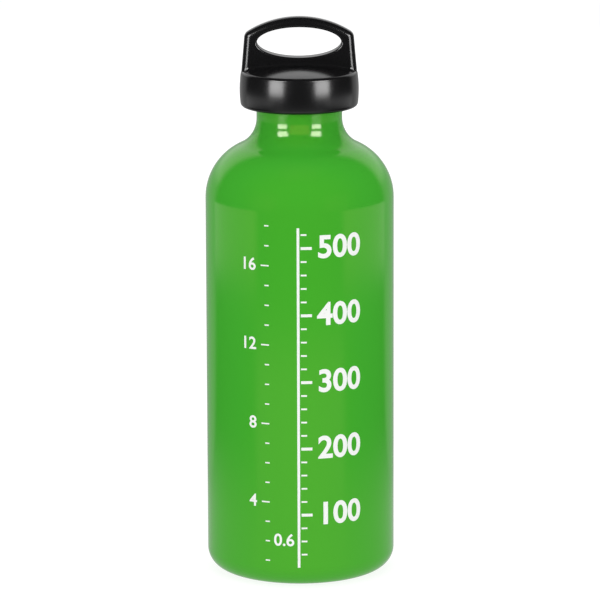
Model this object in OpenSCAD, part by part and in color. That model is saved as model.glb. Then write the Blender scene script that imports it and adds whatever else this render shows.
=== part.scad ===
// Camping fuel bottle: a seamless aluminium flask closed by a push-and-turn screw cap.
// The cap is a moulded shell with a carrying loop. It turns freely over the inner screw plug
// until it is pressed down, when its drive lugs drop between the lugs of the plug.
// Millimetres, +Z up, origin at the centre of the foot. The loop lies in the X-Z plane.

/* [Flask body] */
// Outside diameter of the flask
body_d = 72; // [66:0.5:80]
// Height at which the straight side ends and the shoulder begins
shoulder_z = 145.3; // [100:0.1:220]
// Wall of the side
wall = 0.9; // [0.7:0.1:1.4]
// Thickness of the floor
floor_t = 1.8; // [1.2:0.1:3]
// Radius of the corner between floor and side
corner_r = 7.9; // [5:0.1:10]
// Radius of the rounded shoulder
shoulder_r = 22.4; // [20:0.1:25]
// Diameter of the hollow under the floor
punt_d = 50; // [40:0.5:52]
// Depth of the hollow under the floor
punt_h = 4; // [2:0.1:6]

/* [Neck] */
// Outside diameter of the neck
neck_d = 32.7; // [30:0.1:35]
// Wall of the neck, which the thread is cut into
neck_wall = 2.3; // [1.8:0.1:3]
// Radius of the hollow curve from shoulder to neck
flare_r = 11.4; // [9:0.1:14]
// Straight part of the neck, up to the rim
neck_h = 8.6; // [7:0.1:14]
// Rounding of the rim's outer edge
rim_round = 0.7; // [0.4:0.1:1]

/* [Seal and plug] */
// Section of the seal ring before it is squeezed
seal_section = 2.6; // [2.4:0.1:3.2]
// Height left for the seal ring between rim and flange
seal_h = 2.4; // [2:0.1:2.4]
// Radial room for the two threads, between neck bore and plug core
thread_room = 1.6; // [1.2:0.1:2]
// How far the plug reaches below the rim
plug_depth = 11; // [8:0.5:14]
// Wall of the hollow plug
plug_wall = 2.9; // [2:0.1:3.5]
// Thickness of the plug's flange
flange_t = 2.2; // [1.8:0.1:3]
// Gap between flange and shell, so that the shell can turn
flange_gap = 0.7; // [0.4:0.1:1.2]

/* [Push-and-turn drive] */
// Number of drive lugs on each ring
lug_n = 12; // [8:1:12]
// Share of the pitch that a lug fills
lug_share = 0.42; // [0.3:0.01:0.45]
// Height of a lug
lug_h = 1.5; // [1:0.1:2]
// Free height between the two rings of lugs at rest
lug_gap = 0.4; // [0.3:0.1:0.6]
// Radial length of a lug
lug_l = 6; // [4:0.5:7]
// Strip thickness of the wave spring
spring_t = 0.4; // [0.3:0.05:0.6]
// Number of waves of the spring
spring_waves = 3; // [3:1:4]

/* [Cap shell] */
// Widest outside diameter of the skirt
cap_d = 45.4; // [44:0.1:50]
// Radius of the skirt's barrel curve, seen from the side
barrel_r = 45; // [38:1:80]
// Wall of the skirt where it is widest
skirt_wall = 2.4; // [2:0.1:3]
// How far the skirt reaches below the flange
skirt_drop = 6.5; // [5:0.1:7]
// Thickness of the roof over its middle
roof_t = 3.7; // [3:0.1:5]
// Radius of the domed roof
dome_r = 110; // [80:5:200]
// Rounding of the roof's edge
roof_round = 1.5; // [1:0.1:2]
// Rounding of the skirt's lower edge
hem_round = 1.6; // [0.8:0.1:1.8]
// Number of snap beads that hold the shell on the flange
bead_n = 6; // [4:1:8]
// How far a snap bead reaches in under the flange
bead_grip = 0.6; // [0.4:0.1:1]

/* [Carrying loop] */
// Thickness of the loop, front to back
loop_t = 6.4; // [5:0.1:9]
// Width of the eye
eye_w = 32.1; // [24:0.1:33]
// Height of the eye
eye_h = 12.5; // [10:0.1:18]
// Radius of the eye's two ends
eye_end_r = 3.6; // [3:0.1:4.5]
// Height of the web between roof and eye
web_h = 2.5; // [1.5:0.1:5]
// Height of the band over the eye
band_h = 3.5; // [3.5:0.1:6]
// Radius of the arched top
arch_r = 37; // [34:0.5:60]
// Radius of the loop's two upper corners
loop_corner_r = 3; // [2.5:0.1:5]
// Lean of the loop's two sides, in degrees
loop_lean = 5; // [3:0.5:8]
// Rounding of the loop's edges
loop_round = 1.4; // [0.8:0.1:1.4]

/* [Hidden] */
$fn = 96;
// A running gap between pieces that slide or turn past each other
slip = 0.3;
// How deep a piece is rooted in the wall that carries it
root = 0.4;
// How far the loop's edge pieces lap its core
edge_lap = 0.25;
// How much thinner one of these pieces is than the next, on each face
hair = 0.01;

body_r = body_d / 2;
neck_r = neck_d / 2;
bore_r = neck_r - neck_wall;
// Centre of the hollow curve, which touches the shoulder's arc and the neck
flare_c = [neck_r + flare_r,
    shoulder_z + reach(shoulder_r + flare_r, neck_r + flare_r - body_r + shoulder_r)];
rim_z = flare_c.y + neck_h;
// The hollow under the floor is a slice of this sphere
punt_r = (punt_d * punt_d / 4 + punt_h * punt_h) / (2 * punt_h);

core_r = bore_r - thread_room;
collar_r = bore_r - slip;
flange_z = rim_z + seal_h;
flange_top = flange_z + flange_t;
cap_bore_r = cap_d / 2 - skirt_wall;
flange_r = cap_bore_r - flange_gap;
lug_out_r = flange_r - 1.1;
lug_in_r = lug_out_r - lug_l;
lug_angle = 360 / lug_n * lug_share;
ceiling_z = flange_top + 2 * lug_h + lug_gap;
spring_out_r = lug_in_r - 1.5;
spring_in_r = spring_out_r - 3.5;
pilot_r = spring_in_r - slip;

skirt_z = flange_z - skirt_drop;
apex_z = ceiling_z + roof_t;
barrel_c = [cap_d / 2 - barrel_r, flange_z];
dome_c = [0, apex_z - dome_r];
roof_edge_c = meet(dome_c, dome_r - roof_round, barrel_c, barrel_r - roof_round);
hem_c = [barrel_c.x + reach(barrel_r - hem_round, flange_z - skirt_z - hem_round), skirt_z + hem_round];

eye_z = apex_z + web_h + eye_h / 2;
peak_z = eye_z + eye_h / 2 + band_h;
arch_c = [0, peak_z - arch_r];
// The loop's sides run just inside the barrel curve
side_p = polar(barrel_c, barrel_r, loop_lean) - [0.25, 0];
side_d = [-sin(loop_lean), cos(loop_lean)];
side_n = [-cos(loop_lean), -sin(loop_lean)];
// Centre of the corner that touches side and arch, found along the side's direction
corner_from = side_p + loop_corner_r * side_n - arch_c;
corner_run = -corner_from * side_d
    + reach(arch_r - loop_corner_r, norm(corner_from - (corner_from * side_d) * side_d));
loop_corner_c = arch_c + corner_from + corner_run * side_d;
arch_a = angle(loop_corner_c - arch_c);
// Radius and centre height of the eye's long arcs, which touch its end arcs
eye_arc_r = (pow(eye_w / 2 - eye_end_r, 2) + pow(eye_h / 2, 2) - pow(eye_end_r, 2))
    / (eye_h - 2 * eye_end_r);
eye_arc_a = angle([eye_w / 2 - eye_end_r, eye_arc_r - eye_h / 2]);
loop_z = ceiling_z + 0.5;

function reach(hypotenuse, leg) = sqrt(hypotenuse * hypotenuse - leg * leg);
function polar(c, r, a) = c + r * [cos(a), sin(a)];
function angle(v) = atan2(v.y, v.x);
// Where two circles cross, on the right-hand side
function meet(c1, r1, c2, r2) =
    let (d = c2 - c1, l = norm(d), along = (r1 * r1 - r2 * r2 + l * l) / (2 * l))
    c1 + along * d / l + reach(r1, along) * [d.y, -d.x] / l;

// A slice of a disc for a round corner, a little wider than from a0 to a1, so that it laps its neighbours
module pie(c, r, a0, a1) {
    lap = 5;
    intersection() {
        translate(c) circle(r);
        polygon([c, polar(c, 2 * r, a0 - lap), polar(c, 2 * r, (a0 + a1) / 2), polar(c, 2 * r, a1 + lap)]);
    }
}

// Half outline of a disc with a rounded upper edge
module post(r, z0, z1, edge) {
    translate([0, z0]) square([r, z1 - z0 - edge]);
    translate([0, z0]) square([r - edge, z1 - z0]);
    pie([r - edge, z1 - edge], edge, 0, 90);
}

// Half outline of a vessel, from its floor up to the start of its neck
module vessel(r, edge, z0, curve_r, neck, flare) {
    c = [r - curve_r, shoulder_z];
    f = [neck + flare, shoulder_z + reach(curve_r + flare, neck + flare - r + curve_r)];
    translate([0, z0]) square([r - edge, edge]);
    pie([r - edge, z0 + edge], edge, -90, 0);
    translate([0, z0 + edge]) square([r, shoulder_z - z0 - edge]);
    pie(c, curve_r, 0, angle(f - c));
    difference() {
        polygon([[0, shoulder_z], c, f, [0, f.y]]);
        translate(f) circle(flare);
    }
}

// Seamless flask: the wall grows from side to neck, and the floor is pressed hollow
module flask() {
    color([0.28, 0.68, 0.19])
    rotate_extrude()
    difference() {
        union() {
            vessel(body_r, corner_r, 0, shoulder_r, neck_r, flare_r);
            post(neck_r, flare_c.y, rim_z, rim_round);
        }
        translate([0, punt_h - punt_r]) circle(punt_r);
        difference() {
            vessel(body_r - wall, corner_r - wall, floor_t, shoulder_r - wall, bore_r, flare_r + wall);
            translate([0, punt_h - punt_r]) circle(punt_r + floor_t);
        }
        translate([0, flare_c.y]) square([bore_r, rim_z]);
    }
}

// Seal ring, with the flats that rim and flange press into it
module seal_ring() {
    color([0.12, 0.12, 0.13])
    rotate_extrude()
    intersection() {
        translate([(bore_r + neck_r) / 2, rim_z + seal_h / 2]) circle(seal_section / 2);
        translate([0, rim_z]) square([body_r, seal_h]);
    }
}

// One ring of drive lugs, each standing up from the height z
module lug_ring(z) {
    for (i = [0 : lug_n - 1])
        rotate(i * 360 / lug_n - lug_angle / 2)
        rotate_extrude(angle = lug_angle)
        translate([0, z])
        polygon([[lug_in_r, -root], [lug_out_r, -root], [lug_out_r, lug_h - root],
            [lug_out_r - root, lug_h], [lug_in_r + root, lug_h], [lug_in_r, lug_h - root]]);
}

// Hollow screw plug: core, collar inside the seal, flange, spring pilot and drive lugs
module screw_plug() {
    low = rim_z - plug_depth;
    color([0.16, 0.16, 0.17])
    union() {
        rotate_extrude()
        difference() {
            union() {
                translate([0, low + 1]) square([core_r, flange_z - low]);
                translate([0, low]) square([core_r - 1, 2]);
                pie([core_r - 1, low + 1], 1, -90, 0);
                translate([0, rim_z - 1]) square([collar_r, seal_h + 1 + root]);
                post(flange_r, flange_z, flange_top, 0.5);
                post(pilot_r, flange_top - root, flange_top + lug_h - root, 0.4);
            }
            post(core_r - plug_wall, low - 1, flange_z, 1.5);
        }
        lug_ring(flange_top);
    }
}

// Wave spring between the plug's flange and the shell's ceiling
module press_spring() {
    steps = 30 * spring_waves;
    clear = 0.05;
    low = flange_top + clear;
    swing = (ceiling_z - flange_top) / 2 - clear - spring_t / 2;
    points = [for (i = [0 : steps - 1], p = [[0, 0], [1, 0], [1, 1], [0, 1]])
        let (a = i * 360 / steps, r = p.x == 0 ? spring_in_r : spring_out_r)
        [r * cos(a), r * sin(a), low + swing * (1 + cos(spring_waves * a)) + p.y * spring_t]];
    faces = [for (i = [0 : steps - 1], k = [0 : 3])
        let (a = 4 * i + k, b = 4 * i + (k + 1) % 4, n = 4 * steps, c = (a + 4) % n, d = (b + 4) % n)
        each [[a, b, d], [a, d, c]]];
    color([0.62, 0.63, 0.64])
    polyhedron(points, faces);
}

// Half outline of the shell's outside: barrel side, domed roof and rounded edges
module shell_outline() {
    roof_a = angle(roof_edge_c - dome_c);
    side_top = polar(roof_edge_c, roof_round, angle(roof_edge_c - barrel_c));
    roof_end = polar(roof_edge_c, roof_round, roof_a);
    side_low = polar(hem_c, hem_round, angle(hem_c - barrel_c));
    intersection() {
        translate(barrel_c) circle(barrel_r, $fn = 360);
        translate([0, side_low.y]) square([cap_d, side_top.y - side_low.y]);
    }
    intersection() {
        translate(dome_c) circle(dome_r, $fn = 720);
        translate([0, side_low.y]) square([roof_end.x, apex_z]);
    }
    pie(roof_edge_c, roof_round, angle(roof_edge_c - barrel_c), roof_a);
    translate([0, skirt_z]) square([hem_c.x, 2 * hem_round]);
    pie(hem_c, hem_round, -90, angle(hem_c - barrel_c));
}

// Snap beads under the flange, with a lead-in slope below
module snap_beads() {
    in_r = flange_r - bead_grip;
    top = flange_z - slip;
    for (i = [0 : bead_n - 1])
        rotate((i + 0.25) * 360 / bead_n)
        rotate_extrude(angle = 180 / bead_n)
        polygon([[cap_bore_r + root, top], [in_r, top], [in_r, top - 0.4],
            [cap_bore_r, top - 1.6], [cap_bore_r + root, top - 1.6]]);
}

// Outline of the loop, drawn smaller by the distance inset: leaning sides, round corners and arched top
module loop_outline(inset) {
    low = side_p + (loop_z - side_p.y) / side_d.y * side_d + inset * side_n;
    high = loop_corner_c - (loop_corner_r - inset) * side_n;
    top = polar(arch_c, arch_r - inset, arch_a);
    for (m = [0, 1]) mirror([m, 0]) {
        polygon([[0, low.y], low, high, loop_corner_c, top, [0, top.y]]);
        pie(loop_corner_c, loop_corner_r - inset, loop_lean, arch_a);
    }
    intersection() {
        translate(arch_c) circle(arch_r - inset);
        translate([-top.x, top.y - 1]) square([2 * top.x, arch_r]);
    }
}

// Outline of the eye, drawn larger by the distance grow: a long oval of four arcs that touch
module eye_outline(grow) {
    c = [eye_w / 2 - eye_end_r, eye_z];
    p = polar(c, eye_end_r + grow, eye_arc_a);
    for (m = [0, 1]) mirror([m, 0]) {
        pie(c, eye_end_r + grow, -eye_arc_a, 0);
        pie(c, eye_end_r + grow, 0, eye_arc_a);
    }
    for (s = [-1, 1])
        intersection() {
            translate([0, eye_z - s * (eye_arc_r - eye_h / 2)]) circle(eye_arc_r + grow);
            translate([-p.x, s > 0 ? eye_z : eye_z - eye_h]) square([2 * p.x, eye_h]);
        }
}

// Section of the loop at its edge, thinner than the loop by the distance less on each face
module edge_section(less) {
    deep = loop_round + edge_lap;
    flat = loop_t / 2 - loop_round - less;
    translate([-deep, less - loop_t / 2]) square([edge_lap, loop_t - 2 * less]);
    translate([-deep, -flat]) square([deep, 2 * flat]);
    for (s = [-1, 1])
        pie([-loop_round, s * flat], loop_round, s * 45 - 45, s * 45 + 45);
}

// The loop's edge carried along an arc from a0 to a1, and on past both ends by the angle past.
// side is 1 for an outer edge and -1 for the eye's.
module edge_arc(c, r, a0, a1, side, less, past = 0) {
    translate(c) rotate(a0 - past)
    rotate_extrude(angle = a1 - a0 + 2 * past)
    translate([r, 0]) mirror([(1 - side) / 2, 0]) edge_section(less);
}

// Carrying loop: a slab with a long oval eye and every edge rounded. Each edge piece is a hair
// thinner than the one that it runs into, so that no two of their faces lie in one plane.
module carrying_loop() {
    inset = loop_round + edge_lap / 2;
    past = 4;
    high = loop_corner_c - loop_corner_r * side_n;
    low = side_p + (loop_z - side_p.y) / side_d.y * side_d;
    end_c = [eye_w / 2 - eye_end_r, eye_z];
    rotate([90, 0, 0]) {
        translate([0, 0, -loop_t / 2]) linear_extrude(loop_t)
            difference() {
                loop_outline(inset);
                eye_outline(inset);
            }
        edge_arc(arch_c, arch_r, arch_a, 180 - arch_a, 1, hair);
        for (m = [0, 1]) mirror([m, 0, 0]) {
            translate(low) rotate([-90, 0, loop_lean]) linear_extrude(norm(high - low)) edge_section(hair);
            edge_arc(loop_corner_c, loop_corner_r - hair, loop_lean, arch_a, 1, 2 * hair, past);
            edge_arc(end_c, eye_end_r, -eye_arc_a, eye_arc_a, -1, 2 * hair);
        }
        for (s = [0, 180])
            translate([0, eye_z]) rotate(s)
                edge_arc([0, eye_h / 2 - eye_arc_r], eye_arc_r + hair, eye_arc_a, 180 - eye_arc_a, -1,
                    3 * hair, past);
    }
}

// Moulded cap shell with skirt, roof, carrying loop, snap beads and drive lugs
module cap_shell() {
    color([0.11, 0.11, 0.11])
    union() {
        rotate_extrude()
        difference() {
            shell_outline();
            post(cap_bore_r, skirt_z - 1, ceiling_z, 1);
            polygon([[0, skirt_z - 1], [cap_bore_r + 1.4, skirt_z - 1], [cap_bore_r - 1, skirt_z + 1.4]]);
        }
        carrying_loop();
        rotate(180 / lug_n) translate([0, 0, ceiling_z]) mirror([0, 0, 1]) lug_ring(0);
        snap_beads();
    }
}

flask();
seal_ring();
screw_plug();
press_spring();
cap_shell();
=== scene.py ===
# %% [markdown]
# # A camping fuel bottle
# The bottle is a seamless aluminium flask with a green coat, closed by a black screw cap with a
# carrying loop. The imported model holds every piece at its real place, so the first step loads it
# and keeps its box. Everything made here is fitted to that frame and rides on its bodies.

# %% Load the frame
import math

import bmesh
import bpy
import numpy as np
from mathutils import Matrix, Vector


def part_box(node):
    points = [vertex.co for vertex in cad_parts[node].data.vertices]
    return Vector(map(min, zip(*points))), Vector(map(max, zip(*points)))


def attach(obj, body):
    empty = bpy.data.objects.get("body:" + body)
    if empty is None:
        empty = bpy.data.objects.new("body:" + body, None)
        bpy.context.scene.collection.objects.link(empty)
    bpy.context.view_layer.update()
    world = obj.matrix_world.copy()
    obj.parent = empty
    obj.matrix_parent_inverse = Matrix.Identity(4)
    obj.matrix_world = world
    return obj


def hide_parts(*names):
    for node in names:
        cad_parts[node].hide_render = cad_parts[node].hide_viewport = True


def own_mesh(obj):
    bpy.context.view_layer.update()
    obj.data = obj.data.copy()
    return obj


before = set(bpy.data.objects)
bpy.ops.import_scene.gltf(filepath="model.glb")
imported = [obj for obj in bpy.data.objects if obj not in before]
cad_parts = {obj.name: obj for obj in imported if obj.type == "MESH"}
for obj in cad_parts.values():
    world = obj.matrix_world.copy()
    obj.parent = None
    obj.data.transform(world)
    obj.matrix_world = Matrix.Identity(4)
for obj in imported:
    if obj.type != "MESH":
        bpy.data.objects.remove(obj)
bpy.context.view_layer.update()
MM = 0.001

# %% [markdown]
# ## Sizes
# The outside sizes are read from the frame's own boxes. What a box can't tell, such as a wall or
# the radius of a curve, is a named length below, in metres.

# %% Sizes read from the frame
body_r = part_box("flask")[1].x
rim_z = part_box("flask")[1].z
cap_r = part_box("cap_shell")[1].y
skirt_z, peak_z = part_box("cap_shell")[0].z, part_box("cap_shell")[1].z
plug_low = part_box("screw_plug")[0].z
flange_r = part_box("screw_plug")[1].x
flange_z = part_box("seal_ring")[1].z

# %% Sizes of the flask
wall = 0.9 * MM
floor_t = 1.8 * MM
foot_corner_r = 7.9 * MM
shoulder_z = 145.3 * MM
shoulder_r = 22.4 * MM
neck_r = 16.35 * MM
bore_r = 14.05 * MM
flare_r = 11.4 * MM
rim_round = 0.7 * MM
punt_edge_r = 25 * MM
punt_h = 4 * MM

# %% Sizes of the cap
barrel_r = 45 * MM
dome_r = 110 * MM
roof_round = 1.5 * MM
hem_round = 1.6 * MM
cap_bore_r = cap_r - 2.4 * MM
flange_t = 2.2 * MM
flange_top = flange_z + flange_t
lug_h = 1.5 * MM
ceiling_z = flange_top + 2 * lug_h + 0.4 * MM
apex_z = ceiling_z + 3.7 * MM
print("apex of the roof, mm:", round(apex_z / MM, 2))

# %% [markdown]
# ## Turned shapes
# Almost every piece is turned on a lathe or moulded as if it were. So each is an outline in the
# (radius, height) plane that is carried round the axis. An outline is written as straight runs and
# arcs. Where two arcs have to touch, the touching point is worked out instead of being guessed,
# because a kink of half a degree already shows in a gloss coat.


# %% Points, arcs and runs of an outline
def polar(centre, radius, degrees):
    """The point at that direction on a circle: centre + radius * (cos, sin)."""
    a = np.radians(degrees)
    return np.array([centre[0] + radius * np.cos(a), centre[1] + radius * np.sin(a)]).T


def arc(centre, radius, start, end, count=16):
    """Points along an arc, evenly spaced in direction, both ends included."""
    return polar(centre, radius, np.linspace(start, end, count))


def direction(a, b):
    """The direction from a to b, in degrees."""
    return math.degrees(math.atan2(b[1] - a[1], b[0] - a[0]))


def crossing(c1, r1, c2, r2):
    """Where two circles cross, on the right-hand side of the line between their centres."""
    d = np.subtract(c2, c1)
    length = np.hypot(*d)
    along = (r1**2 - r2**2 + length**2) / (2 * length)
    aside = math.sqrt(r1**2 - along**2)
    return np.array(c1) + along * d / length + aside * np.array([d[1], -d[0]]) / length


def outline(*parts, step=4 * MM, edge=0.25 * MM):
    """One polyline through all the parts. A long straight run gets a point close to each end and
    evenly spaced ones between, so that the shading of an arc doesn't leak into the run."""
    points = np.vstack([np.atleast_2d(p) for p in parts])
    keep = np.r_[True, np.hypot(*np.diff(points, axis=0).T) > 1e-7]
    points = points[keep]
    out = [points[:1]]
    for a, b in zip(points[:-1], points[1:]):
        length = np.hypot(*(b - a))
        if length > 4 * edge:
            inner = np.linspace(edge, length - edge, max(2, round(length / step) + 1))
            out.append(a + (b - a) * inner[:, None] / length)
        out.append(b[None])
    return np.vstack(out)


# %% [markdown]
# A grid of points becomes a mesh in one go: the face indices are worked out as whole arrays, and
# `foreach_set` hands them to Blender. A surface that meets the axis ends in a single pole vertex
# with a fan of triangles, and one that runs back into itself is closed like a ring.


# %% From a grid to a mesh
def signed_volume(points, loops, starts, sizes):
    """Volume inside the faces, as the sum of the tetrahedra to the origin; negative if inside out."""
    total = 0.0
    for size in np.unique(sizes):
        first = starts[sizes == size]
        corner = points[loops[first[:, None] + np.arange(size)]]
        for k in range(1, size - 1):
            total += np.einsum("ij,ij->", corner[:, 0], np.cross(corner[:, k], corner[:, k + 1]))
    return total / 6


def mesh_from(name, points, faces, kinds=None):
    """A mesh from points and lists of face arrays, one array for each number of corners. It is
    turned so that its faces point outwards, and shaded smooth up to an angle of 35 degrees."""
    loops = np.concatenate([f.ravel() for f in faces]).astype(np.int32)
    sizes = np.concatenate([np.full(len(f), f.shape[1]) for f in faces]).astype(np.int32)
    starts = np.r_[0, np.cumsum(sizes)[:-1]].astype(np.int32)
    if signed_volume(points, loops, starts, sizes) < 0:
        for s in np.unique(sizes):
            first = starts[sizes == s]
            index = first[:, None] + np.arange(s)
            loops[index] = loops[index[:, ::-1]]
    mesh = bpy.data.meshes.new(name)
    mesh.vertices.add(len(points))
    mesh.vertices.foreach_set("co", np.asarray(points, np.float32).ravel())
    mesh.loops.add(len(loops))
    mesh.loops.foreach_set("vertex_index", loops)
    mesh.polygons.add(len(sizes))
    mesh.polygons.foreach_set("loop_start", starts)
    if kinds is not None:
        mesh.polygons.foreach_set("material_index", np.asarray(kinds, np.int32))
    mesh.update(calc_edges=True)
    mesh.validate()
    mesh.shade_smooth()
    mesh.set_sharp_from_angle(angle=math.radians(35))
    piece = bpy.data.objects.new(name, mesh)
    bpy.context.scene.collection.objects.link(piece)
    return piece


def grid_faces(rows, cols, close_rows=False, close_cols=True):
    """Quads between neighbours of a rows x cols grid, whose point (i, j) has the index i * cols + j."""
    i = np.arange(rows if close_rows else rows - 1)[:, None]
    j = np.arange(cols if close_cols else cols - 1)[None, :]
    i2, j2 = (i + 1) % rows, (j + 1) % cols
    return np.stack([i * cols + j, i * cols + j2, i2 * cols + j2, i2 * cols + j], axis=-1).reshape(-1, 4)


def lathe(name, line, segments=256, kinds=None):
    """An outline of (radius, height) points turned once round the axis:
    (r cos a, r sin a, z). An outline that starts and ends on the axis gets two poles, and any
    other is closed into a ring. kinds gives a material number for each stretch of the outline."""
    poles = line[0, 0] < 1e-9 and line[-1, 0] < 1e-9
    body = line[1:-1] if poles else line
    a = np.linspace(0, 2 * np.pi, segments, endpoint=False)
    points = np.stack([body[:, :1] * np.cos(a), body[:, :1] * np.sin(a),
                       np.broadcast_to(body[:, 1:], (len(body), segments))], axis=-1).reshape(-1, 3)
    quads = grid_faces(len(body), segments, close_rows=not poles)
    faces, marks = [quads], None
    if kinds is not None:
        marks = np.repeat(kinds[1:-1] if poles else kinds, segments)
    if poles:
        j = np.arange(segments)
        n = len(points)
        low = np.stack([np.full(segments, n), (j + 1) % segments, j], axis=-1)
        high = (len(body) - 1) * segments
        top = np.stack([np.full(segments, n + 1), high + j, high + (j + 1) % segments], axis=-1)
        points = np.vstack([points, [[0, 0, line[0, 1]], [0, 0, line[-1, 1]]]])
        faces += [low, top]
        if kinds is not None:
            marks = np.r_[marks, np.full(segments, kinds[0]), np.full(segments, kinds[-1])]
    return mesh_from(name, points, faces, marks)


# %% [markdown]
# ## The flask
# A fuel flask is pressed from one slug of aluminium, so it has no seam. Its floor is pushed
# inwards to stand on a ring, its side is straight, and its shoulder is drawn in by an arc that
# runs into the hollow curve of the neck. The wall thickens towards the neck, where the thread is.
# The coat covers the outside, and the rim and the inside stay bare metal.


# %% Outline of a flask's side, shoulder and neck
def shoulder(r, curve_r, neck, flare):
    """Straight side, round shoulder and hollow flare up to the neck, each touching the next."""
    c = np.array([r - curve_r, shoulder_z])
    reach = curve_r + flare
    f = np.array([neck + flare, shoulder_z + math.sqrt(reach**2 - (neck + flare - c[0]) ** 2)])
    a = direction(c, f)
    return outline(arc(c, curve_r, 0, a, 40), arc(f, flare, 180 + a, 180, 32))


punt_r = (punt_edge_r**2 + punt_h**2) / (2 * punt_h)
punt_c = [0, punt_h - punt_r]
punt_edge_a = direction(punt_c, [punt_edge_r, 0])
lip = 0.35 * MM

outside = outline(
    arc(punt_c, punt_r, 90, punt_edge_a, 24),
    [punt_edge_r + lip, 0],
    arc([body_r - foot_corner_r, foot_corner_r], foot_corner_r, -90, 0, 32),
    shoulder(body_r, shoulder_r, neck_r, flare_r),
    arc([neck_r - rim_round, rim_z - rim_round], rim_round, 0, 90, 10),
)

# %% Inside of the flask and the whole turned piece
inner_corner_r = foot_corner_r - wall
inner_c = [body_r - foot_corner_r, floor_t + inner_corner_r]
inner_floor_r = punt_r + floor_t
floor_meet_a = math.degrees(math.acos(inner_c[0] * 0.9 / inner_floor_r))
inner_top = shoulder(body_r - wall, shoulder_r - wall, bore_r, flare_r + wall)
inside = outline(
    arc([bore_r + lip, rim_z - lip], lip, 90, 180, 6),
    inner_top[::-1],
    arc(inner_c, inner_corner_r, 0, -90, 24),
    arc(punt_c, inner_floor_r, floor_meet_a, 90, 24),
)

# %% [markdown]
# The neck is a piece of its own, so that it can have its own reflections. The outline is parted in
# the middle of a chord of the neck's hollow curve. There the chord's own direction is the average of
# the directions at its ends, so the shading runs on over the joint without a line.

# %% Body and neck
fine_turn = 320
parting_z = 168 * MM
i = int(np.argmax(outside[:, 1] > parting_z))
j = int(np.argmax(inside[:, 1] < parting_z))
part_outside = outside[i - 1:i + 1].mean(axis=0)
part_inside = inside[j - 1:j + 1].mean(axis=0)


def coat_then_metal(coated, bare_faces):
    """Material numbers along an outline: so many stretches of coat, then so many of bare metal."""
    return np.r_[np.zeros(coated, int), np.ones(bare_faces, int)]


line = np.vstack([outside[:i], part_outside, part_inside, inside[j:]])
flask = lathe("flask_body", line, fine_turn, coat_then_metal(i, len(line) - 1 - i))
line = np.vstack([part_outside, outside[i:], inside[:j], part_inside])
coated = len(outside) - i
neck = lathe("flask_neck", line, fine_turn, coat_then_metal(coated, len(line) - coated))
print("flask faces:", len(flask.data.polygons), len(neck.data.polygons))

# %% [markdown]
# ## Threads
# The plug's thread and the neck's thread are ridges that wind round the axis by three millimetres
# a turn. Both are the same surface: a small section is carried along a helix, and its height fades
# at both ends, as a real thread runs out. The two are half a pitch apart, so they mesh, and
# because the plug rises by a pitch a turn they stay in mesh while it is unscrewed.

# %% A thread ridge as a section carried along a helix
pitch = 3 * MM


def thread(name, root_r, crest_r, low_z, turns, start_deg, across=0.85 * MM, tip=0.3 * MM):
    """Section points (r, z) at the angle a: r = root_r + fade * (crest_r - root_r) on the crest,
    and z = low_z + pitch * a / turn. The section's root is sunk into the wall that carries it."""
    sink = -0.35 * MM * np.sign(crest_r - root_r)
    steps = int(turns * 96)
    t = np.linspace(0, turns, steps)
    fade = np.clip(np.minimum(t, turns - t) / 0.12, 0.02, 1) ** 0.5
    rise = crest_r - root_r
    shape = np.array([[sink, -across], [0, -across], [0.8 * rise, -tip - 0.1 * MM], [rise, -tip * 0.6],
                      [rise, tip * 0.6], [0.8 * rise, tip + 0.1 * MM], [0, across], [sink, across]])
    out = np.where(shape[:, 0] * np.sign(rise) > 0, 1.0, 0.0)
    r = root_r + shape[:, 0] * (out * fade[:, None] + (1 - out))
    a = np.radians(start_deg) + 2 * np.pi * t[:, None]
    z = low_z + pitch * t[:, None] + shape[:, 1]
    points = np.stack([r * np.cos(a), r * np.sin(a), z], axis=-1).reshape(-1, 3)
    n = len(shape)
    ends = np.array([np.arange(n), (steps - 1) * n + np.arange(n)[::-1]])
    return mesh_from(name, points, [grid_faces(steps, n), ends])


core_r = bore_r - 1.6 * MM
crest = 1.28 * MM
neck_thread = thread("neck_thread", bore_r, bore_r - crest, rim_z - 9.6 * MM, 2.75, 90)
plug_thread = thread("plug_thread", core_r, core_r + crest, plug_low + 1.5 * MM, 2.6, 90 + 120)

# %% [markdown]
# ## The screw plug
# Under the shell sits the part that really closes the flask: a hollow plug with its thread, a
# collar that centres the seal ring, and a flange with a ring of lugs on top. All of it but the lugs
# is one turned outline.

# %% Turned part of the plug
collar_r = bore_r - 0.3 * MM
hollow_r = core_r - 2.9 * MM
lug_out_r = flange_r - 1.1 * MM
lug_in_r = lug_out_r - 6 * MM
spring_out_r = lug_in_r - 1.5 * MM
spring_in_r = spring_out_r - 3.5 * MM
pilot_r = spring_in_r - 0.3 * MM
plug = lathe("plug_body", outline(
    [0, flange_top + 1.1 * MM],
    arc([pilot_r - 0.4 * MM, flange_top + 0.7 * MM], 0.4 * MM, 90, 0, 6),
    [pilot_r, flange_top],
    arc([flange_r - 0.5 * MM, flange_top - 0.5 * MM], 0.5 * MM, 90, 0, 8),
    arc([flange_r - 0.3 * MM, flange_z + 0.3 * MM], 0.3 * MM, 0, -90, 6),
    [collar_r, flange_z],
    [collar_r, rim_z - 1 * MM],
    [core_r, rim_z - 1.6 * MM],
    arc([core_r - 1 * MM, plug_low + 1 * MM], 1 * MM, 0, -90, 10),
    arc([hollow_r + 0.5 * MM, plug_low + 0.5 * MM], 0.5 * MM, 270, 180, 6),
    arc([hollow_r - 1.5 * MM, flange_z - 1.5 * MM], 1.5 * MM, 0, 90, 10),
    [0, flange_z],
), 192)


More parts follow.
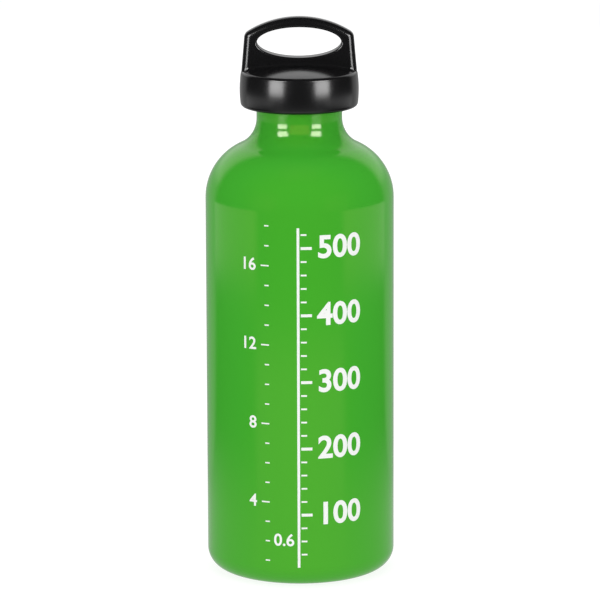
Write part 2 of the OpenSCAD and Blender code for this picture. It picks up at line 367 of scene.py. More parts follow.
# %% Rings of lugs and beads
def blocks(name, section, count, share, offset=0.0, across=7):
    """count copies of a block round the axis. Each is a closed (r, z) section carried through a
    share of its pitch, so that its two flanks are planes through the axis."""
    pitch_a = 2 * np.pi / count
    a = np.linspace(-0.5, 0.5, across) * share * pitch_a
    centre = (np.arange(count) + offset) * pitch_a
    a = (centre[:, None] + a).reshape(-1, 1)
    n = len(section)
    points = np.stack([section[:, 0] * np.cos(a), section[:, 0] * np.sin(a),
                       np.broadcast_to(section[:, 1], (len(a), n))], axis=-1).reshape(-1, 3)
    one = grid_faces(across, n)
    cap = np.array([np.arange(n), (across - 1) * n + np.arange(n)[::-1]])
    shift = (np.arange(count) * across * n)[:, None, None]
    return mesh_from(name, points, [(one + shift).reshape(-1, 4), (cap + shift).reshape(-1, n)])


def lug_section(z, up):
    """A lug's section, with rounded upper corners, standing up or hanging down from the height z."""
    e = 0.4 * MM
    return outline([lug_in_r, z - up * e], [lug_out_r, z - up * e],
                   arc([lug_out_r - e, z + up * (lug_h - e)], e, 0, up * 90, 5),
                   arc([lug_in_r + e, z + up * (lug_h - e)], e, up * 90, up * 180, 5), edge=1)


lug_share = 0.42
plug_lugs = blocks("plug_lugs", lug_section(flange_top, 1), 12, lug_share)
shell_lugs = blocks("shell_lugs", lug_section(ceiling_z, -1), 12, lug_share, 0.5)
bead_top = flange_z - 0.3 * MM
bead_in_r = flange_r - 0.6 * MM
snap_beads = blocks("snap_beads", np.array([
    [cap_bore_r + 0.4 * MM, bead_top], [bead_in_r + 0.15 * MM, bead_top],
    [bead_in_r, bead_top - 0.15 * MM], [bead_in_r, bead_top - 0.4 * MM],
    [cap_bore_r, bead_top - 1.6 * MM], [cap_bore_r + 0.4 * MM, bead_top - 1.6 * MM]]), 6, 0.5, 0.5, 24)

# %% [markdown]
# ## The wave spring
# A flat strip of spring steel runs round in three waves and holds the shell off the plug. Its
# height follows a cosine of three times the angle.

# %% Wave spring
strip_t = 0.4 * MM
air = 0.05 * MM
swing = (ceiling_z - flange_top) / 2 - air - strip_t / 2
a = np.linspace(0, 2 * np.pi, 240, endpoint=False)[:, None]
corner = np.array([[0, 0], [1, 0], [1, 1], [0, 1]])
r = spring_in_r + corner[:, 0] * (spring_out_r - spring_in_r)
z = flange_top + air + swing * (1 + np.cos(3 * a)) + corner[:, 1] * strip_t
points = np.stack([r * np.cos(a), r * np.sin(a), z + 0 * r], axis=-1).reshape(-1, 3)
spring = mesh_from("wave_spring", points, [grid_faces(240, 4, close_rows=True)])

# %% [markdown]
# ## The cap shell
# The shell's skirt bulges like a barrel and its roof is a shallow dome. In a gloss plastic these
# two curves and the rounding between them make most of the picture, so the rounding's centre is
# found as the point that lies at the right distance inside both curves.

# %% Outline of the shell
barrel_c = np.array([cap_r - barrel_r, flange_z])
dome_c = np.array([0, apex_z - dome_r])
roof_edge_c = crossing(dome_c, dome_r - roof_round, barrel_c, barrel_r - roof_round)
hem_rise = skirt_z + hem_round - flange_z
hem_c = np.array([barrel_c[0] + math.sqrt((barrel_r - hem_round) ** 2 - hem_rise**2), skirt_z + hem_round])
roof_a = direction(dome_c, roof_edge_c)
side_a = direction(barrel_c, roof_edge_c)
hem_a = direction(barrel_c, hem_c)
lead = 0.8 * MM
dome_points = 24
shell_line = outline(
    arc(dome_c, dome_r, 90, roof_a, dome_points),
    arc(roof_edge_c, roof_round, roof_a, side_a, 20),
    arc(barrel_c, barrel_r, side_a, hem_a, 40),
    arc(hem_c, hem_round, hem_a, -90, 20),
    arc([cap_bore_r + lead, skirt_z + lead], lead, 270, 180, 8),
    arc([cap_bore_r - 1 * MM, ceiling_z - 1 * MM], 1 * MM, 0, 90, 10),
    [0, ceiling_z],
)

# %% [markdown]
# The roof is parted from the rest in the middle of its last chord, as the neck is from the flask, so
# that the boxes which light the skirt aren't mirrored by the flat roof when it is seen from behind.

# %% Skirt and roof as two pieces
ceiling_part_r = 17 * MM
i = dome_points - 1
j = int(np.flatnonzero(shell_line[:, 0] >= ceiling_part_r)[-1]) + 1
part_top = shell_line[i - 1:i + 1].mean(axis=0)
part_ceiling = np.array([ceiling_part_r, ceiling_z])
cap = lathe("cap_body", np.vstack([part_top, shell_line[i:j], part_ceiling]), fine_turn)
roof = lathe("cap_roof", np.vstack([shell_line[:i], part_top, part_ceiling, shell_line[j:]]), fine_turn)

# %% [markdown]
# ## The carrying loop
# The loop is a slab with a long oval eye. Its surface is a ring: one number runs round the eye, and
# the other runs round the band's section at that place, from the eye's rounded edge over the front
# to the outer edge and back behind. Near the roof the faces flare out by a quarter circle that ends
# flat on the dome, as the moulded piece does, so that no crease shows between loop and roof.

# %% Outline of the loop
loop_half_t = 3.2 * MM
edge_round = 2.5 * MM
eye_round = 0.8 * MM
eye_a, eye_b = 16.05 * MM, 5.8 * MM
eye_z = apex_z + 3.1 * MM + eye_b
arch_r = 37 * MM
arch_c = np.array([0, peak_z - arch_r])
loop_corner_r = 3 * MM
loop_lean = 5.0
loop_set_in = 0.25 * MM
side_p = polar(barrel_c, barrel_r, loop_lean) - [loop_set_in, 0]
side_d = np.array([-math.sin(math.radians(loop_lean)), math.cos(math.radians(loop_lean))])
side_n = np.array([-side_d[1], side_d[0]])
start = side_p + loop_corner_r * side_n - arch_c
off = start - (start @ side_d) * side_d
run = -start @ side_d + math.sqrt((arch_r - loop_corner_r) ** 2 - off @ off)
loop_corner_c = arch_c + start + run * side_d
arch_a = direction(arch_c, loop_corner_c)
sunk_z = ceiling_z + 1.0 * MM


def loop_edge(inset):
    """The loop's outer edge, drawn smaller by inset: side, corner, arch, corner, side and a bottom
    line that lies inside the roof."""
    low = side_p + (sunk_z - side_p[1]) / side_d[1] * side_d + inset * side_n
    right = outline(low, arc(loop_corner_c, loop_corner_r - inset, loop_lean, arch_a, 24),
                    arc(arch_c, arch_r - inset, arch_a, 90, 60), step=1 * MM)
    left = right[::-1] * [-1, 1]
    return np.vstack([right, left[1:], right[:1]])


def reach_along(origin, ray, line):
    """How far each ray travels from its origin before it leaves a closed outline. It solves
    origin + s * ray = a + t * (b - a) for every pair of ray and edge, and takes the hit."""
    a, e = line[:-1], np.diff(line, axis=0)
    w = a[None] - origin[:, None]
    det = ray[:, None, 0] * e[None, :, 1] - ray[:, None, 1] * e[None, :, 0]
    det = np.where(np.abs(det) < 1e-15, 1e-15, det)
    s = (w[..., 0] * e[None, :, 1] - w[..., 1] * e[None, :, 0]) / det
    t = (w[..., 0] * ray[:, None, 1] - w[..., 1] * ray[:, None, 0]) / det
    good = (s > 0) & (t >= -1e-6) & (t <= 1 + 1e-6)
    return np.where(good, s, np.inf).min(axis=1)


# %% Surface of the loop
around = 560
round_points, face_points = 9, 28
psi = np.linspace(0, 2 * np.pi, around, endpoint=False)
psi = psi + 0.32 * np.sin(2 * psi)
normal = np.stack([np.cos(psi), np.sin(psi)], axis=-1)
t = np.arctan2(eye_b * np.sin(psi), eye_a * np.cos(psi))
eye = np.stack([eye_a * np.cos(t), eye_z + eye_b * np.sin(t)], axis=-1)
full = reach_along(eye, normal, loop_edge(0))
short = reach_along(eye, normal, loop_edge(edge_round))

q = np.radians(np.linspace(0, 90, round_points))
across = np.linspace(0, 1, face_points)[1:-1]
face_s = eye_round + across * (short[:, None] - eye_round)
inner_s = np.broadcast_to(eye_round * (1 - np.cos(q)), (around, round_points))
outer_s = short[:, None] + (full - short)[:, None] * np.sin(q)
half_s = np.concatenate([inner_s, face_s, outer_s], axis=1)
eye_y = loop_half_t - eye_round * (1 - np.sin(q))
edge_y = loop_half_t - edge_round * (1 - np.cos(q))
face_y = np.full(face_points - 2, loop_half_t)
half_y = np.broadcast_to(np.concatenate([eye_y, face_y, edge_y]), half_s.shape)
s = np.concatenate([half_s, half_s[:, ::-1]], axis=1)
y = np.concatenate([-half_y, half_y[:, ::-1]], axis=1)
x = eye[:, :1] + s * normal[:, :1]
z = eye[:, 1:] + s * normal[:, 1:]


def roof_height(radius):
    """Height of the shell's outside over that distance from the axis: dome, then rounded edge."""
    dome = dome_c[1] + np.sqrt(np.maximum(dome_r**2 - radius**2, 0))
    edge = roof_edge_c[1] + np.sqrt(np.maximum(roof_round**2 - (radius - roof_edge_c[0]) ** 2, 0))
    turn = polar(roof_edge_c, roof_round, roof_a)[0]
    return np.where(radius < turn, dome, edge)


# The flare at the foot, and the loop's two ends, which follow the round of the skirt
foot_r = 1.2 * MM
ends_from = 19 * MM
ends_over = 2 * MM
above = z - roof_height(np.hypot(x, y))
lack = 1 - np.clip(above / foot_r, 0, 1)
flare = foot_r * (1 - np.sqrt(1 - lack**2))
y = y + np.sign(y) * flare * np.clip(np.abs(y) / loop_half_t, 0, 1)
edge_x = np.sqrt(np.maximum(x**2 - y**2, 0)) * np.sign(x)
outer = np.clip((np.abs(x) - ends_from) / ends_over, 0, 1)
x = x + (edge_x - x) * outer
points = np.stack([x, y, z], axis=-1).reshape(-1, 3)
loop = mesh_from("carrying_loop", points, [grid_faces(around, s.shape[1], close_rows=True)])
print("loop faces:", len(loop.data.polygons))

# %% [markdown]
# ## Print on the flask
# The flask carries a plain level scale in white ink: a bar for every 20 millilitres and a longer one
# with its number for every tenth of a litre, and beside them a finer scale in fluid ounces. A texture
# would blur in a close view, so the ink is a thin solid. It is drawn flat, cut into narrow strips so
# that it can bend, given the thickness of ink, and then wrapped round the side: the flat x becomes an
# angle, x / radius, and the flat y becomes the height.

# %% Where a filling stands
bore_area = math.pi * (body_r - wall) ** 2
LITRE = 0.001
floor_lift = 1.2 * MM


def level(litres):
    """Height of the liquid's surface in the straight part of the flask."""
    return floor_t + floor_lift + litres * LITRE / bore_area


# %% Flat shapes of the print
def flat_box(bm, x0, x1, y0, y1):
    corners = [bm.verts.new((x, y, 0)) for x, y in ((x0, y0), (x1, y0), (x1, y1), (x0, y1))]
    bm.faces.new(corners)


def flat_text(bm, words, x, y, height, bold=0.0, align="LEFT"):
    """Adds plain figures as flat faces. height is that of a figure, which is 0.7 of the font size."""
    curve = bpy.data.curves.new("figures", "FONT")
    curve.body, curve.size, curve.offset = words, height / 0.7, bold
    curve.align_x, curve.align_y, curve.resolution_u = align, "CENTER", 6
    text = bpy.data.objects.new("figures", curve)
    bpy.context.scene.collection.objects.link(text)
    bpy.context.view_layer.update()
    mesh = text.evaluated_get(bpy.context.evaluated_depsgraph_get()).to_mesh()
    mesh.transform(Matrix.Translation((x, y, 0)))
    bm.from_mesh(mesh)
    bpy.data.objects.remove(text)
    bpy.data.curves.remove(curve)


scale_bm = bmesh.new()
spine = -1.2 * MM
figures_x = 6.6 * MM
bar_step = 0.02
first_bar, last_bar = 2, 26
for step_no in range(first_bar, last_bar + 1):
    height = level(step_no * bar_step)
    long = 4.2 * MM if step_no % 5 == 0 else 2.2 * MM
    thick = 0.55 * MM if step_no % 5 == 0 else 0.32 * MM
    flat_box(scale_bm, spine + 1.5 * MM, spine + 1.5 * MM + long, height - thick, height + thick)
scale_low, scale_high = level(0.02), level(0.53)
flat_box(scale_bm, spine, spine + 1.0 * MM, scale_low, scale_high)
for tenth in range(1, 6):
    flat_text(scale_bm, f"{tenth}00", figures_x, level(tenth * 0.1), 8.4 * MM, 0.3 * MM)
print("scale from", round(scale_low / MM, 1), "to", round(scale_high / MM, 1), "mm")

# %% Finer scale to the left
OUNCE = 0.02957
fine_x = -12.0 * MM
for ounce in range(1, 19):
    height = level(ounce * OUNCE)
    long = 3.2 * MM if ounce % 4 == 0 else 1.7 * MM
    flat_box(scale_bm, fine_x - long, fine_x, height - 0.26 * MM, height + 0.26 * MM)
    if ounce % 4 == 0:
        flat_text(scale_bm, str(ounce), fine_x - 5.2 * MM, height, 4.6 * MM, 0.12 * MM, "RIGHT")
flat_text(scale_bm, "0.6", -6.4 * MM, 18.7 * MM, 4.6 * MM, 0.12 * MM, "CENTER")

# %% Bend the print round the side
ink_t = 0.05 * MM
ink_sink = 0.02 * MM
half_width, strip = 26 * MM, 0.8 * MM
for cut in np.arange(-half_width, half_width + 1 * MM, strip):
    geometry = scale_bm.verts[:] + scale_bm.edges[:] + scale_bm.faces[:]
    bmesh.ops.bisect_plane(scale_bm, geom=geometry, plane_co=(cut, 0, 0), plane_no=(1, 0, 0), dist=1e-7)
bmesh.ops.remove_doubles(scale_bm, verts=scale_bm.verts[:], dist=1e-7)
raised = bmesh.ops.extrude_face_region(scale_bm, geom=scale_bm.faces[:])
bmesh.ops.translate(scale_bm, vec=(0, 0, ink_t),
                    verts=[v for v in raised["geom"] if isinstance(v, bmesh.types.BMVert)])
print_mesh = bpy.data.meshes.new("level_scale")
scale_bm.to_mesh(print_mesh)
scale_bm.free()
co = np.empty(len(print_mesh.vertices) * 3)
print_mesh.vertices.foreach_get("co", co)
co = co.reshape(-1, 3)
radius = body_r - ink_sink + co[:, 2]
turned = co[:, 0] / body_r
bent = np.stack([radius * np.sin(turned), -radius * np.cos(turned), co[:, 1]], axis=-1)
print_mesh.vertices.foreach_set("co", bent.ravel())
fix = bmesh.new()
fix.from_mesh(print_mesh)
bmesh.ops.recalc_face_normals(fix, faces=fix.faces[:])
fix.to_mesh(print_mesh)
fix.free()
print_mesh.set_sharp_from_angle(angle=math.radians(35))
level_scale = bpy.data.objects.new("level_scale", print_mesh)
bpy.context.scene.collection.objects.link(level_scale)
print("print faces:", len(print_mesh.polygons))

# %% [markdown]
# ## Finishes
# Three effects turn up in several finishes, so each is a node group with its own inputs: a fine
# grain for the bump, a slow drift of a colour, and a slow drift of the roughness, which is what
# makes a reflection look like one on a real surface instead of on a perfect one.


# %% Helpers for node trees
def nodes_of(tree):
    """Short ways to add a node and to join two sockets in a tree."""
    def add(kind, **settings):
        node = tree.nodes.new(kind)
        for key, value in settings.items():
            setattr(node, key, value)
        return node

    def join(source, target):
        tree.links.new(source, target)

    return add, join


def effect(name, inputs, output):
    """A node group with float or colour inputs and one output, reading Object coordinates."""
    tree = bpy.data.node_groups.new(name, "ShaderNodeTree")
    for label, kind, value in inputs:
        socket = tree.interface.new_socket(name=label, in_out="INPUT", socket_type=kind)
        socket.default_value = value
    tree.interface.new_socket(name=output[0], in_out="OUTPUT", socket_type=output[1])
    add, join = nodes_of(tree)
    return tree, add, join, add("NodeGroupInput"), add("NodeGroupOutput"), add("ShaderNodeTexCoord")


def calc(tree, operation, *values):
    """Adds a Math node and gives its output. Each value is a number or another node's output."""
    node = tree.nodes.new("ShaderNodeMath")
    node.operation = operation
    for value, socket in zip(values, node.inputs):
        if isinstance(value, (int, float)):
            socket.default_value = value
        else:
            tree.links.new(value, socket)
    return node.outputs[0]


def ramp(tree, source, low, high, at_low=0.0, at_high=1.0):
    """Adds a smooth step: at_low where source is under low, at_high where it is over high."""
    node = tree.nodes.new("ShaderNodeMapRange")
    node.interpolation_type = "SMOOTHSTEP"
    tree.links.new(source, node.inputs["Value"])
    for label, value in zip(("From Min", "From Max", "To Min", "To Max"), (low, high, at_low, at_high)):
        node.inputs[label].default_value = value
    return node.outputs["Result"]


FLOAT, COLOUR = "NodeSocketFloat", "NodeSocketColor"

# %% Effect: fine grain
grain, add, join, gin, gout, where = effect("fine_grain", [("Scale", FLOAT, 900.0), ("Mix", FLOAT, 0.4)],
                                            ("Height", FLOAT))
coarse = add("ShaderNodeTexNoise")
coarse.inputs["Detail"].default_value = 3
fine = add("ShaderNodeTexNoise")
fine.inputs["Detail"].default_value = 2
times = add("ShaderNodeMath", operation="MULTIPLY")
times.inputs[1].default_value = 3.7
blend_heights = add("ShaderNodeMix", data_type="FLOAT")
join(where.outputs["Object"], coarse.inputs["Vector"])
join(where.outputs["Object"], fine.inputs["Vector"])
join(gin.outputs["Scale"], coarse.inputs["Scale"])
join(gin.outputs["Scale"], times.inputs[0])
join(times.outputs[0], fine.inputs["Scale"])
join(gin.outputs["Mix"], blend_heights.inputs["Factor"])
join(coarse.outputs["Fac"], blend_heights.inputs["A"])
join(fine.outputs["Fac"], blend_heights.inputs["B"])
join(blend_heights.outputs["Result"], gout.inputs["Height"])

# %% Effect: drift of a colour
drift, add, join, gin, gout, where = effect(
    "tone_drift", [("Colour", COLOUR, (1, 1, 1, 1)), ("Scale", FLOAT, 30.0), ("Amount", FLOAT, 0.03)],
    ("Colour", COLOUR))
cloud = add("ShaderNodeTexNoise")
cloud.inputs["Detail"].default_value = 4
centre = add("ShaderNodeMath", operation="SUBTRACT")
centre.inputs[1].default_value = 0.5
spread = add("ShaderNodeMath", operation="MULTIPLY")
one = add("ShaderNodeMath", operation="ADD")
one.inputs[1].default_value = 1.0
shade = add("ShaderNodeHueSaturation")
join(where.outputs["Object"], cloud.inputs["Vector"])
join(gin.outputs["Scale"], cloud.inputs["Scale"])
join(cloud.outputs["Fac"], centre.inputs[0])
join(centre.outputs[0], spread.inputs[0])
join(gin.outputs["Amount"], spread.inputs[1])
join(spread.outputs[0], one.inputs[0])
join(one.outputs[0], shade.inputs["Value"])
join(gin.outputs["Colour"], shade.inputs["Color"])
join(shade.outputs["Color"], gout.inputs["Colour"])

# %% Effect: handled roughness
handled, add, join, gin, gout, where = effect(
    "handled", [("Roughness", FLOAT, 0.3), ("Scale", FLOAT, 25.0), ("Amount", FLOAT, 0.05)],
    ("Roughness", FLOAT))
cloud = add("ShaderNodeTexNoise")
cloud.inputs["Detail"].default_value = 5
cloud.inputs["Distortion"].default_value = 0.6
centre = add("ShaderNodeMath", operation="SUBTRACT")
centre.inputs[1].default_value = 0.5
spread = add("ShaderNodeMath", operation="MULTIPLY_ADD")
join(where.outputs["Object"], cloud.inputs["Vector"])
join(gin.outputs["Scale"], cloud.inputs["Scale"])
join(cloud.outputs["Fac"], centre.inputs[0])
join(centre.outputs[0], spread.inputs[0])
join(gin.outputs["Amount"], spread.inputs[1])
join(gin.outputs["Roughness"], spread.inputs[2])
join(spread.outputs[0], gout.inputs["Roughness"])


# %% A finish made from the effects
def linear(*rgb):
    """An sRGB colour, 0 to 255, as the linear values that a shader works with."""
    c = np.array(rgb) / 255
    return tuple(np.where(c <= 0.04045, c / 12.92, ((c + 0.055) / 1.055) ** 2.4)) + (1.0,)


def finish(name, colour, rough, tone=0.03, marks=0.04, bump=0.05, grain_scale=900.0, depth=0.02 * MM,
           **fixed):
    """A Principled material whose colour, roughness and bump drift a little over the surface.
    Values that are the same all over go straight onto the shader's own sockets, through fixed."""
    material = bpy.data.materials.new(name)
    material.use_nodes = True
    tree = material.node_tree
    shader = tree.nodes["Principled BSDF"]
    add, join = nodes_of(tree)
    for key, value in fixed.items():
        shader.inputs[key.replace("_", " ")].default_value = value
    paint = add("ShaderNodeGroup", node_tree=drift)
    paint.inputs["Colour"].default_value = colour
    paint.inputs["Amount"].default_value = tone
    join(paint.outputs["Colour"], shader.inputs["Base Color"])
    worn = add("ShaderNodeGroup", node_tree=handled)
    worn.inputs["Roughness"].default_value = rough
    worn.inputs["Amount"].default_value = marks
    join(worn.outputs["Roughness"], shader.inputs["Roughness"])
    skin = add("ShaderNodeGroup", node_tree=grain)
    skin.inputs["Scale"].default_value = grain_scale
    relief = add("ShaderNodeBump")
    relief.inputs["Strength"].default_value = bump
    relief.inputs["Distance"].default_value = depth
    join(skin.outputs["Height"], relief.inputs["Height"])
    join(relief.outputs["Normal"], shader.inputs["Normal"])
    return material


def facing_colour(material, colour):
    """Where the surface faces the eye, its colour goes over to this one, as in a pearl lacquer."""
    tree = material.node_tree
    add, join = nodes_of(tree)
    paint = next(node for node in tree.nodes if node.type == "GROUP" and node.node_tree == drift)
    facing = add("ShaderNodeLayerWeight")
    facing.inputs["Blend"].default_value = 0.5
    blend = add("ShaderNodeMix", data_type="RGBA")
    blend.inputs["A"].default_value = colour
    blend.inputs["B"].default_value = tuple(paint.inputs["Colour"].default_value)
    join(ramp(tree, facing.outputs["Facing"], 0.02, 0.3), blend.inputs["Factor"])
    join(blend.outputs["Result"], paint.inputs["Colour"])


# %% The bottle's finishes
coat = finish("green_coat", linear(66, 176, 48), 0.12, tone=0.02, marks=0.03, bump=0.06, grain_scale=700.0,
              Specular_Tint=(1.0, 0.72, 0.34, 1.0))
facing_colour(coat, linear(68, 175, 44))
bare = finish("bare_aluminium", linear(212, 213, 216), 0.34, bump=0.15, grain_scale=1500.0, Metallic=1.0)
moulded = finish("moulded_black", linear(18, 18, 19), 0.2, tone=0.05, marks=0.08, bump=0.1,
                 grain_scale=1600.0)
plug_black = finish("plug_black", linear(30, 30, 32), 0.42, tone=0.05, marks=0.08, bump=0.2,
                    grain_scale=1400.0)
nitrile = finish("nitrile_rubber", linear(24, 24, 26), 0.6, bump=0.2, grain_scale=1200.0)
spring_steel = finish("spring_steel", linear(176, 178, 182), 0.3, bump=0.1, grain_scale=1500.0,
                      Metallic=1.0)
ink = finish("white_ink", linear(250, 253, 249), 0.4, tone=0.02, bump=0.1, grain_scale=2200.0)

# %% Put the finishes on and let each piece ride
def dress(piece, body, slot_name, *materials):
    piece.data.materials.clear()
    for material in materials:
        piece.data.materials.append(material)
    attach(piece, body)


dress(flask, "flask", "flask_coat", coat, bare)
dress(neck, "flask", "flask_coat", coat, bare)
dress(neck_thread, "flask", "flask_coat", bare)
dress(level_scale, "flask", "flask_coat", ink)
dress(plug, "screw_plug", "plug", plug_black)
dress(plug_thread, "screw_plug", "plug", plug_black)
dress(plug_lugs, "screw_plug", "plug", plug_black)
dress(spring, "press_spring", "spring", spring_steel)
for piece in (cap, roof, loop, shell_lugs, snap_beads):
    dress(piece, "cap_shell", "cap", moulded)
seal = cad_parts["seal_ring"]
seal.data.materials.clear()
seal.data.materials.append(nitrile)
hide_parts("flask")
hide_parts("screw_plug")
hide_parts("press_spring")
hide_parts("cap_shell")
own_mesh(spring)

# %% [markdown]
# ## Stage, light and camera
# The floor and the surroundings are white to the camera, and the floor throws plain light up at the
# bottle. What the gloss coat mirrors is another matter: a dark room in front, soft white behind, a
# small white foot round the bottle, a white sheet of floor in front that ends half a metre away, and
# white wings of floor to the left and right from there on. The floor and the world show this only to
# glossy rays.

# %% White floor
floor_reach = 3.0
floor_front = 0.47
floor_wings = 0.60
floor_foot = 0.2
stage_mesh = bpy.data.meshes.new("floor")
stage_mesh.from_pydata([(-floor_reach, -floor_reach, 0), (floor_reach, -floor_reach, 0),
                        (floor_reach, floor_reach, 0), (-floor_reach, floor_reach, 0)], [], [(0, 1, 2, 3)])
stage_mesh.transform(Matrix.Translation((0, 0, -0.3 * MM)))
floor = bpy.data.objects.new("floor", stage_mesh)
bpy.context.scene.collection.objects.link(floor)
paper = bpy.data.materials.new("floor_paper")
paper.use_nodes = True
tree = paper.node_tree
tree.nodes.clear()
add, join = nodes_of(tree)
place = add("ShaderNodeNewGeometry")
split = add("ShaderNodeSeparateXYZ")
join(place.outputs["Position"], split.inputs[0])
x, y = split.outputs["X"], split.outputs["Y"]
away = calc(tree, "SQRT", calc(tree, "ADD", calc(tree, "MULTIPLY", x, x), calc(tree, "MULTIPLY", y, y)))
backward = calc(tree, "DIVIDE", y, away)
sideward = calc(tree, "ABSOLUTE", calc(tree, "DIVIDE", x, away))
behind = ramp(tree, backward, 0.45, 0.65, 0.0, 0.43)
to_side = calc(tree, "MULTIPLY", ramp(tree, sideward, 0.74, 0.86), ramp(tree, away, 0.95, 1.15, 1.0, 0.0))
wings = calc(tree, "MULTIPLY", to_side, ramp(tree, away, floor_wings - 0.04, floor_wings + 0.04, 0.0, 0.85))
to_front = ramp(tree, backward, -0.7, -0.5, 0.6, 0.0)
front = calc(tree, "MULTIPLY", to_front, ramp(tree, away, floor_front - 0.1, floor_front + 0.1, 1.0, 0.0))
foot = ramp(tree, away, floor_foot - 0.1, floor_foot + 0.1, 0.55, 0.0)
mirrored = calc(tree, "MAXIMUM", calc(tree, "MAXIMUM", front, foot), calc(tree, "MAXIMUM", behind, wings))
mirrored = calc(tree, "ADD", mirrored, 0.02)

out = add("ShaderNodeOutputMaterial")
path = add("ShaderNodeLightPath")
upward = add("ShaderNodeEmission")
upward.inputs["Color"].default_value = (0.72, 0.72, 0.72, 1)
shadow_paper = add("ShaderNodeBsdfDiffuse")
shadow_paper.inputs["Color"].default_value = (0.22, 0.22, 0.22, 1)
glow = add("ShaderNodeEmission")
glow.inputs["Color"].default_value = (0.88, 0.88, 0.88, 1)
seen = add("ShaderNodeAddShader")
to_camera = add("ShaderNodeMixShader")
mirror_glow = add("ShaderNodeEmission")
glossy = add("ShaderNodeMixShader")
back = add("ShaderNodeMixShader")
clear = add("ShaderNodeBsdfTransparent")
join(mirrored, mirror_glow.inputs["Strength"])
join(shadow_paper.outputs[0], seen.inputs[0])
join(glow.outputs[0], seen.inputs[1])
join(path.outputs["Is Camera Ray"], to_camera.inputs["Fac"])
join(upward.outputs[0], to_camera.inputs[1])
join(seen.outputs[0], to_camera.inputs[2])
join(path.outputs["Is Glossy Ray"], glossy.inputs["Fac"])
join(to_camera.outputs[0], glossy.inputs[1])
join(mirror_glow.outputs[0], glossy.inputs[2])
join(place.outputs["Backfacing"], back.inputs["Fac"])
join(glossy.outputs[0], back.inputs[1])
join(clear.outputs[0], back.inputs[2])
join(back.outputs[0], out.inputs["Surface"])
stage_mesh.materials.append(paper)

# %% Surroundings
world = bpy.data.worlds.new("studio")
bpy.context.scene.world = world
world.use_nodes = True
tree = world.node_tree
tree.nodes.clear()
add, join = nodes_of(tree)
where = add("ShaderNodeTexCoord")
split = add("ShaderNodeSeparateXYZ")
join(where.outputs["Generated"], split.inputs[0])
x, y, z = split.outputs
behind = calc(tree, "MULTIPLY", ramp(tree, y, 0.45, 0.65), ramp(tree, z, 0.05, 0.25, 0.43, 0.95))
mirrored = calc(tree, "ADD", behind, 0.02)

out = add("ShaderNodeOutputWorld")
path = add("ShaderNodeLightPath")
fill, mirror, white = (add("ShaderNodeBackground") for _ in range(3))
for shader, strength in ((fill, 0.55), (mirror, 1.0), (white, 1.0)):
    shader.inputs["Color"].default_value = (1, 1, 1, 1)
    shader.inputs["Strength"].default_value = strength
join(mirrored, mirror.inputs["Strength"])
pick = add("ShaderNodeMixShader")
show = add("ShaderNodeMixShader")
join(path.outputs["Is Glossy Ray"], pick.inputs["Fac"])
join(fill.outputs[0], pick.inputs[1])
join(mirror.outputs[0], pick.inputs[2])
seen = calc(tree, "MAXIMUM", path.outputs["Is Camera Ray"], path.outputs["Is Transmission Ray"])
join(seen, show.inputs["Fac"])
join(pick.outputs[0], show.inputs[1])
join(white.outputs[0], show.inputs[2])
join(show.outputs[0], out.inputs["Surface"])


# %% [markdown]
# ## Lamps
# Two large soft lamps in front, one overhead and one behind give the coat and the plastic their plain
# level of light. They aren't mirrored. What the plastic mirrors are four smaller boxes, two on each
# side, one above the other: they make the soft upright streaks on the black cap and the bright lines
# along the loop's edges. The narrow neck mirrors a weak card and two pairs of bars of its own, which
# leave two crisp pairs of marks on it. Light linking keeps these from the other pieces.

# %% Lamps
def lamp(name, azimuth, elevation, width, height, watts, away=1.3, aim=0.17):
    """A soft lamp seen from the bottle at that azimuth, from the camera's side, and elevation."""
    a, e = math.radians(azimuth), math.radians(elevation)
    data = bpy.data.lights.new(name, "AREA")
    data.shape, data.size, data.size_y, data.energy = "RECTANGLE", width, height, watts
    obj = bpy.data.objects.new(name, data)
    bpy.context.scene.collection.objects.link(obj)
    centre = Vector((0, 0, aim))
    outward = Vector((math.sin(a) * math.cos(e), -math.cos(a) * math.cos(e), math.sin(e)))
    obj.location = centre + away * outward
    obj.rotation_euler = (centre - obj.location).to_track_quat("-Z", "Y").to_euler()
    return obj


def linked_to(name, *pieces):
    """A collection of the only pieces that a lamp lights."""
    group = bpy.data.collections.new(name)
    for piece in pieces:
        group.objects.link(piece)
    return group


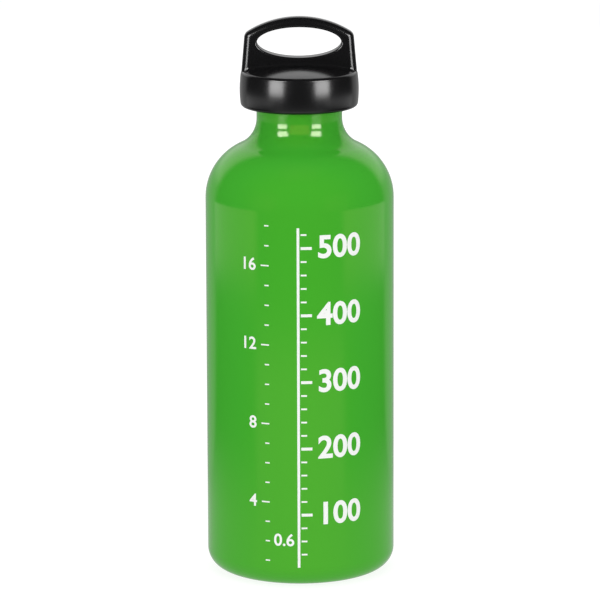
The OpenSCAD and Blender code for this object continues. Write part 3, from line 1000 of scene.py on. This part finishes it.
lamp_azimuth = 46
sides = ((-1, "left"), (1, "right"))
shiny = linked_to("mirror_the_boxes", cap, loop)
for side, word in sides:
    soft = lamp(f"soft_{word}", side * lamp_azimuth, 5, 0.7, 0.7, 4.8)
    soft.visible_glossy = False
    for level_name, rise, watts in (("low", 2, 8.5), ("high", 24.5, 11)):
        box = lamp(f"box_{level_name}_{word}", side * (lamp_azimuth - 1), rise, 0.66, 0.38, watts)
        box.visible_diffuse = False
        box.light_linking.receiver_collection = shiny

for word, azimuth, rise, watts in (("overhead", 0, 74, 3.8), ("behind", 180, 15, 4.8)):
    soft = lamp(f"soft_{word}", azimuth, rise, 0.8, 0.8, watts)
    soft.visible_glossy = False
    soft.visible_camera = False

# %% A weak card and two pairs of bars that only the neck mirrors
mark_z = 173.7 * MM
neck_only = linked_to("mirrored_by_the_neck", neck)
card = lamp("card", 0, 10.5, 0.72, 0.49, 1.5, away=0.75, aim=mark_z)
card.data.color = (1.0, 0.85, 0.4)
bars = [card]
for side, word in sides:
    for bar_name, rise, height, watts in (("low", -0.5, 0.35, 22), ("high", 24.5, 0.42, 27)):
        bar = lamp(f"bar_{bar_name}_{word}", side * lamp_azimuth, rise, 0.6, height, watts, aim=mark_z)
        bar.data.color = (0.42, 0.54, 0.92)
        bars.append(bar)
for bar in bars:
    bar.visible_diffuse = False
    bar.visible_camera = False
    bar.light_linking.receiver_collection = neck_only

# %% Camera
camera_away = 1.8
camera_rise = math.radians(12)
target = Vector((0, 0, 104.8 * MM))
camera_data = bpy.data.cameras.new("camera")
camera_data.lens = 281.1
camera_data.sensor_width = 36
camera_data.clip_end = 20
camera = bpy.data.objects.new("camera", camera_data)
bpy.context.scene.collection.objects.link(camera)
camera.location = target + camera_away * Vector((0, -math.cos(camera_rise), math.sin(camera_rise)))
turn = (target - camera.location).to_track_quat("-Z", "Y").to_matrix().to_4x4()
camera.matrix_world = (Matrix.Translation(camera.location) @ turn
                       @ Matrix.Rotation(math.radians(-0.206), 4, "Z"))
bpy.context.scene.camera = camera
bpy.context.scene.view_settings.view_transform = "Standard"
